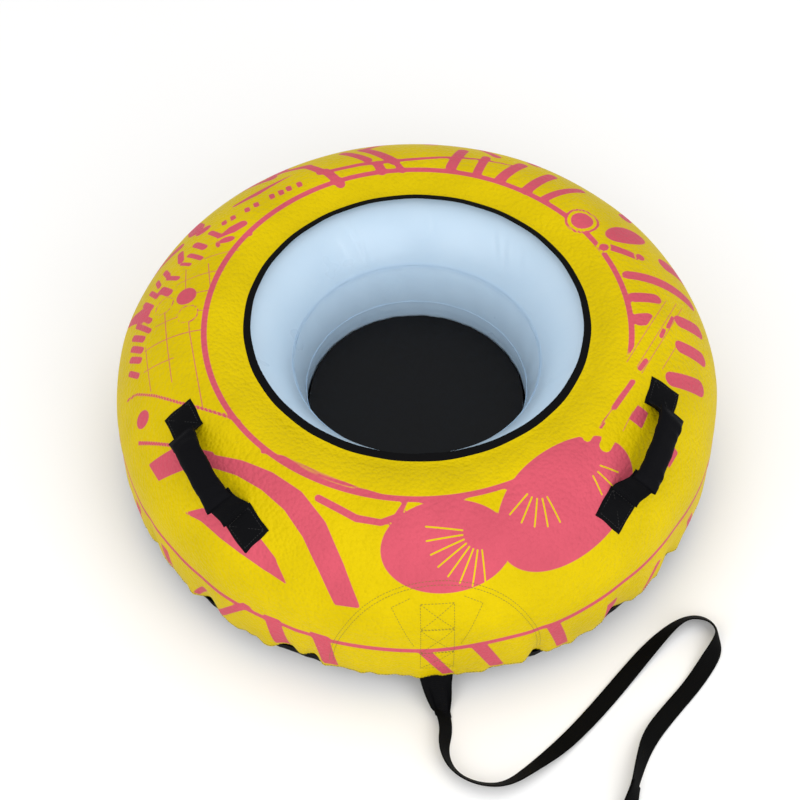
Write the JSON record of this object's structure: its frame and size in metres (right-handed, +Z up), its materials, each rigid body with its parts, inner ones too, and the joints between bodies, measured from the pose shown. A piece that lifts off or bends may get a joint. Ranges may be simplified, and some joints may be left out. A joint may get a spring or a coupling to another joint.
{
  "type": "towable tube",
  "caption": "Round inflatable towable tube in a sewn fabric cover, with a floored cockpit, side grab handles and a front tow strap ending in a sewn loop.",
  "frame": {"origin": "centre of the ring, on the ground plane it rests on", "axes": "+Z up along the ring axis; -Y towards the tow point; +X to the right seen from behind the tow point, looking along +Y"},
  "size_m": [0.8799, 1.1556, 0.3259],
  "materials": {
    "printed_nylon": "yellow and pink print, coated woven cloth, slightly shiny",
    "black_nylon": "black coated woven cloth",
    "lining_nylon": "black backing cloth",
    "black_binding": "ribbed black tape",
    "black_webbing": "ribbed black webbing",
    "strap_webbing": "flat woven black strap",
    "handle_webbing": "ribbed black webbing",
    "handle_sleeve": "black cloth sleeve",
    "handle_foam": "soft closed-cell foam",
    "white_pvc": "glossy translucent white film",
    "black_pvc": "smooth black film",
    "valve_plastic": "smooth moulded plastic",
    "valve_rubber": "soft rubber"
  },
  "bodies": {
    "tube": {"top_cover": "printed_nylon", "bottom_cover": "black_nylon", "hem_seam_tape": "black_binding", "rim_binding": "black_binding", "floor_panel": "black_pvc", "floor_seam_tape": "white_pvc", "valve_base": "valve_plastic", "bladder_outer_panel": "white_pvc", "bladder_inner_panel": "white_pvc", "bladder_base_panel": "white_pvc", "tow_panel": "lining_nylon", "tow_webbing": "black_webbing", "tow_tail": "black_webbing", "tow_strap": "strap_webbing", "strap_eye": "strap_webbing", "left_rear_patch": "handle_webbing", "left_rear_backing": "lining_nylon", "left_front_patch": "handle_webbing", "left_front_backing": "lining_nylon", "right_rear_patch": "handle_webbing", "right_rear_backing": "lining_nylon", "right_front_patch": "handle_webbing", "right_front_backing": "lining_nylon"},
    "left_handle": {"left_handle_webbing": "handle_webbing", "left_handle_foam": "handle_foam", "left_handle_sleeve": "handle_sleeve"},
    "right_handle": {"right_handle_webbing": "handle_webbing", "right_handle_foam": "handle_foam", "right_handle_sleeve": "handle_sleeve"},
    "valve_collar": {"valve_gasket": "valve_rubber"},
    "valve_plug": {"valve_insert": "valve_plastic", "valve_tether": "valve_plastic"},
    "valve_lid": {"valve_cap": "valve_plastic"},
    "valve_flap": {"valve_membrane": "valve_rubber"}
  },
  "joints": [
    {"name": "left_handle_swing", "type": "hinge", "parent": "tube", "child": "left_handle", "pos_m": [-0.29894, -0.23216, 0.27521], "axis": [0.4445, -0.8796, -0.1694], "range_deg": [-45, 45]},
    {"name": "right_handle_swing", "type": "hinge", "parent": "tube", "child": "right_handle", "pos_m": [0.30041, -0.23267, 0.27403], "axis": [-0.4445, -0.8796, -0.1694], "range_deg": [-45, 45]},
    {"name": "valve_lift", "type": "slide", "parent": "tube", "child": "valve_collar", "axis": [0, 0.9856, 0.1688], "range_m": [0, 0.004]},
    {"name": "valve_turn", "type": "hinge", "parent": "valve_collar", "child": "valve_plug", "pos_m": [0, -0.16362, 0.16584], "axis": [0, 0.9856, 0.1688], "range_deg": [0, 360]},
    {"name": "valve_cap_hinge", "type": "hinge", "parent": "valve_plug", "child": "valve_lid", "pos_m": [0, -0.16153, 0.18649], "axis": [1, 0, 0], "range_deg": [0, 120]},
    {"name": "valve_flap_slide", "type": "slide", "parent": "valve_plug", "child": "valve_flap", "axis": [0, -0.9856, -0.1688], "range_m": [0, 0.0025], "stiffness_N_per_m": 40}
  ],
  "couplings": [
    {"joint": "valve_lift", "follows": "valve_turn", "m_per_rad": 0.000636}
  ]
}
